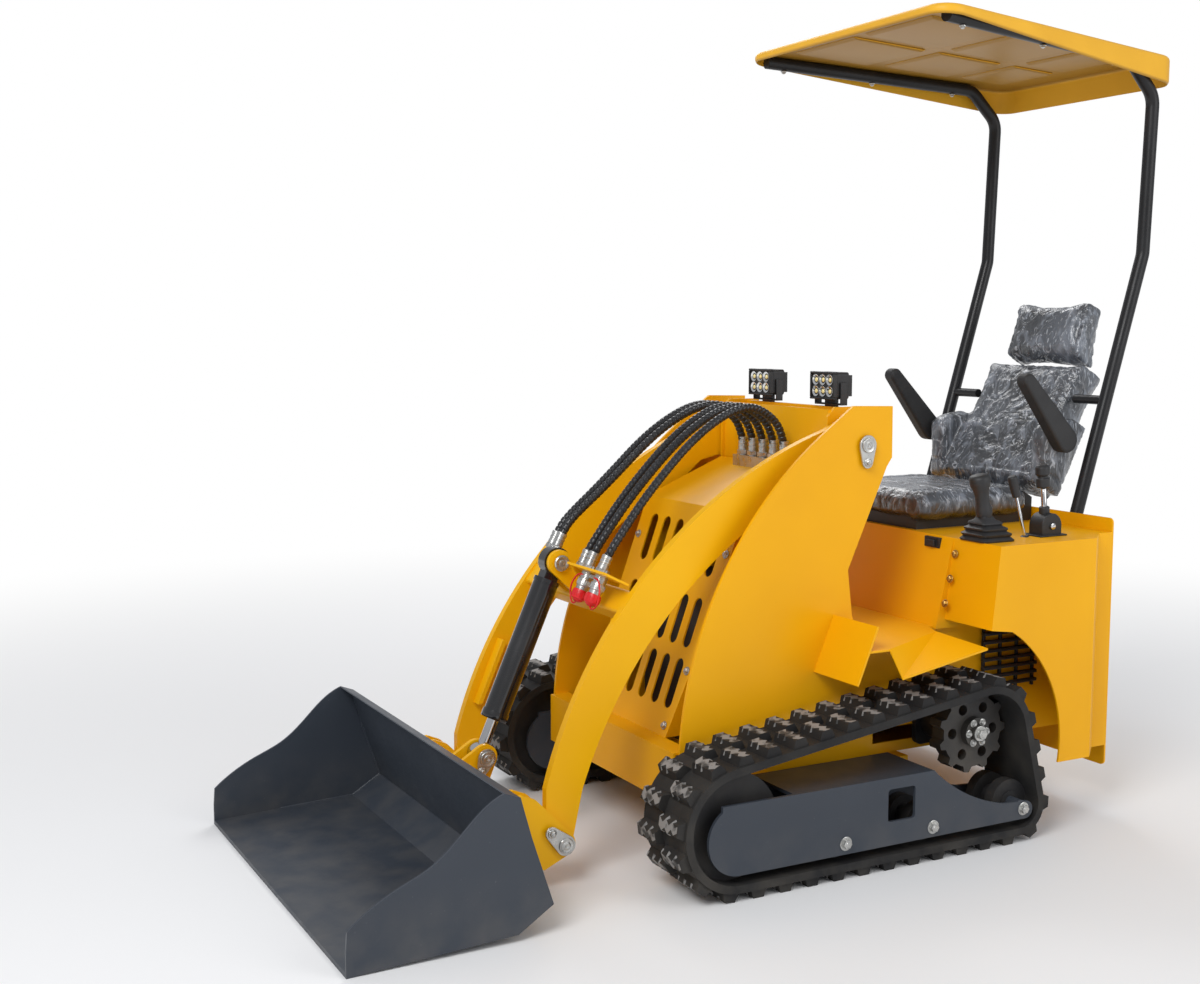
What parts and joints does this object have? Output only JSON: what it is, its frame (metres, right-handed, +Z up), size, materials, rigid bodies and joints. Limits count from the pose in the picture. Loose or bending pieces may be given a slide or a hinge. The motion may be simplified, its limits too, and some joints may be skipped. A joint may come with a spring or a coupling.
{
  "type": "compact track loader",
  "caption": "Small seated loader on lugged rubber tracks, with curved lift arms, a tipping bucket, a slotted sloping hood, a high-backed seat and a canopy on bent posts.",
  "frame": {"origin": "on the ground, midway between the bucket's cutting edge and the rear of the canopy, on the centre plane", "axes": "-Y towards the bucket, +X to the driver's left, +Z up"},
  "size_m": [1.08, 2.345, 1.9746],
  "materials": {
    "track_rubber": "matt, dusty",
    "frame_blue": "satin",
    "wheel_black": "dusty black paint",
    "sprocket_steel": "dark, dusty",
    "body_yellow": "satin",
    "engine_dark": "matt",
    "arm_yellow": "satin",
    "cylinder_black": "gloss",
    "rod_chrome": "polished",
    "fitting_steel": "zinc plated",
    "hose_rubber": "matt, with a spiral guard",
    "canopy_black": "satin",
    "canopy_yellow": "moulded, satin",
    "seat_vinyl": "vinyl under a clear film",
    "seat_pan": "satin",
    "armrest_black": "matt",
    "control_black": "matt",
    "lamp_black": "black coated"
  },
  "bodies": {
    "machine": {"track_left": "track_rubber", "track_right": "track_rubber", "track_frame_left": "frame_blue", "track_frame_right": "frame_blue", "front_idler_left": "wheel_black", "front_idler_right": "wheel_black", "rear_idler_left": "wheel_black", "rear_idler_right": "wheel_black", "roller_1_left": "wheel_black", "roller_1_right": "wheel_black", "roller_2_left": "wheel_black", "roller_2_right": "wheel_black", "drive_motor_left": "wheel_black", "drive_motor_right": "wheel_black", "sprocket_left": "sprocket_steel", "sprocket_right": "sprocket_steel", "tower_plate_left": "body_yellow", "tower_plate_right": "body_yellow", "chassis": "body_yellow", "tower_top": "body_yellow", "engine_hood": "body_yellow", "seat_box": "body_yellow", "rear_panel": "body_yellow", "fender_left": "body_yellow", "fender_right": "body_yellow", "foot_rest_left": "body_yellow", "foot_rest_right": "body_yellow", "engine": "engine_dark", "hose_fittings": "fitting_steel", "tilt_hose_1": "hose_rubber", "tilt_hose_2": "hose_rubber", "coupler_hose_1": "hose_rubber", "coupler_hose_2": "hose_rubber", "coupler_hose_3": "hose_rubber", "canopy_frame": "canopy_black", "canopy_roof": "canopy_yellow", "seat_cushion": "seat_vinyl", "seat_back": "seat_vinyl", "headrest": "seat_vinyl", "seat_base": "seat_pan", "joystick_left": "control_black", "joystick_right": "control_black", "control_levers": "control_black", "work_lamp_left": "lamp_black", "work_lamp_right": "lamp_black"},
    "loader_arms": {"loader_arm_left": "arm_yellow", "loader_arm_right": "arm_yellow", "arm_bridge": "arm_yellow", "hose_couplers": "fitting_steel"},
    "bucket": {"bucket": "frame_blue", "bucket_carrier": "arm_yellow"},
    "tilt_barrel": {"tilt_barrel": "cylinder_black"},
    "tilt_rod": {"tilt_rod": "rod_chrome"},
    "lift_barrel_left": {"lift_barrel_left": "cylinder_black"},
    "lift_rod_left": {"lift_rod_left": "rod_chrome"},
    "armrest_left": {"armrest_left": "armrest_black"},
    "lift_barrel_right": {"lift_barrel_right": "cylinder_black"},
    "lift_rod_right": {"lift_rod_right": "rod_chrome"},
    "armrest_right": {"armrest_right": "armrest_black"}
  },
  "joints": [
    {"name": "arm_lift", "type": "hinge", "parent": "machine", "child": "loader_arms", "pos_m": [0, 0.1845, 0.954], "axis": [-1, 0, 0], "range_deg": [0, 75], "deforming": ["tilt_hose_1", "tilt_hose_2", "coupler_hose_1", "coupler_hose_2", "coupler_hose_3"]},
    {"name": "bucket_tilt", "type": "hinge", "parent": "loader_arms", "child": "bucket", "pos_m": [0, -0.5955, 0.099], "axis": [1, 0, 0], "range_deg": [-15, 95]},
    {"name": "tilt_barrel_swing", "type": "hinge", "parent": "loader_arms", "child": "tilt_barrel", "pos_m": [0, -0.4775, 0.682], "axis": [1, 0, 0], "range_deg": [-0.5, 1.2]},
    {"name": "tilt_rod_slide", "type": "slide", "parent": "tilt_barrel", "child": "tilt_rod", "axis": [0, -0.4044, -0.9146], "range_m": [-0.04, 0.245]},
    {"name": "lift_barrel_swing_left", "type": "hinge", "parent": "machine", "child": "lift_barrel_left", "pos_m": [0.288, -0.0725, 0.34], "axis": [-1, 0, 0], "range_deg": [-2.5, 0.5]},
    {"name": "lift_rod_slide_left", "type": "slide", "parent": "lift_barrel_left", "child": "lift_rod_left", "axis": [0, 0.2587, 0.9659], "range_m": [0, 0.15]},
    {"name": "lift_barrel_swing_right", "type": "hinge", "parent": "machine", "child": "lift_barrel_right", "pos_m": [-0.288, -0.0725, 0.34], "axis": [-1, 0, 0], "range_deg": [-2.5, 0.5]},
    {"name": "lift_rod_slide_right", "type": "slide", "parent": "lift_barrel_right", "child": "lift_rod_right", "axis": [0, 0.2587, 0.9659], "range_m": [0, 0.15]},
    {"name": "armrest_fold_left", "type": "hinge", "parent": "machine", "child": "armrest_left", "pos_m": [0.262, 0.8735, 0.936], "axis": [-1, 0, 0], "range_deg": [-45, 45]},
    {"name": "armrest_fold_right", "type": "hinge", "parent": "machine", "child": "armrest_right", "pos_m": [-0.262, 0.8735, 0.936], "axis": [-1, 0, 0], "range_deg": [-45, 45]}
  ],
  "couplings": [
    {"joint": "tilt_barrel_swing", "follows": "bucket_tilt", "ratio": 0.01},
    {"joint": "tilt_rod_slide", "follows": "bucket_tilt", "m_per_rad": 0.147},
    {"joint": "lift_barrel_swing_left", "follows": "arm_lift", "ratio": -0.0303},
    {"joint": "lift_rod_slide_left", "follows": "arm_lift", "m_per_rad": 0.1097},
    {"joint": "lift_barrel_swing_right", "follows": "arm_lift", "ratio": -0.0303},
    {"joint": "lift_rod_slide_right", "follows": "arm_lift", "m_per_rad": 0.1097}
  ]
}
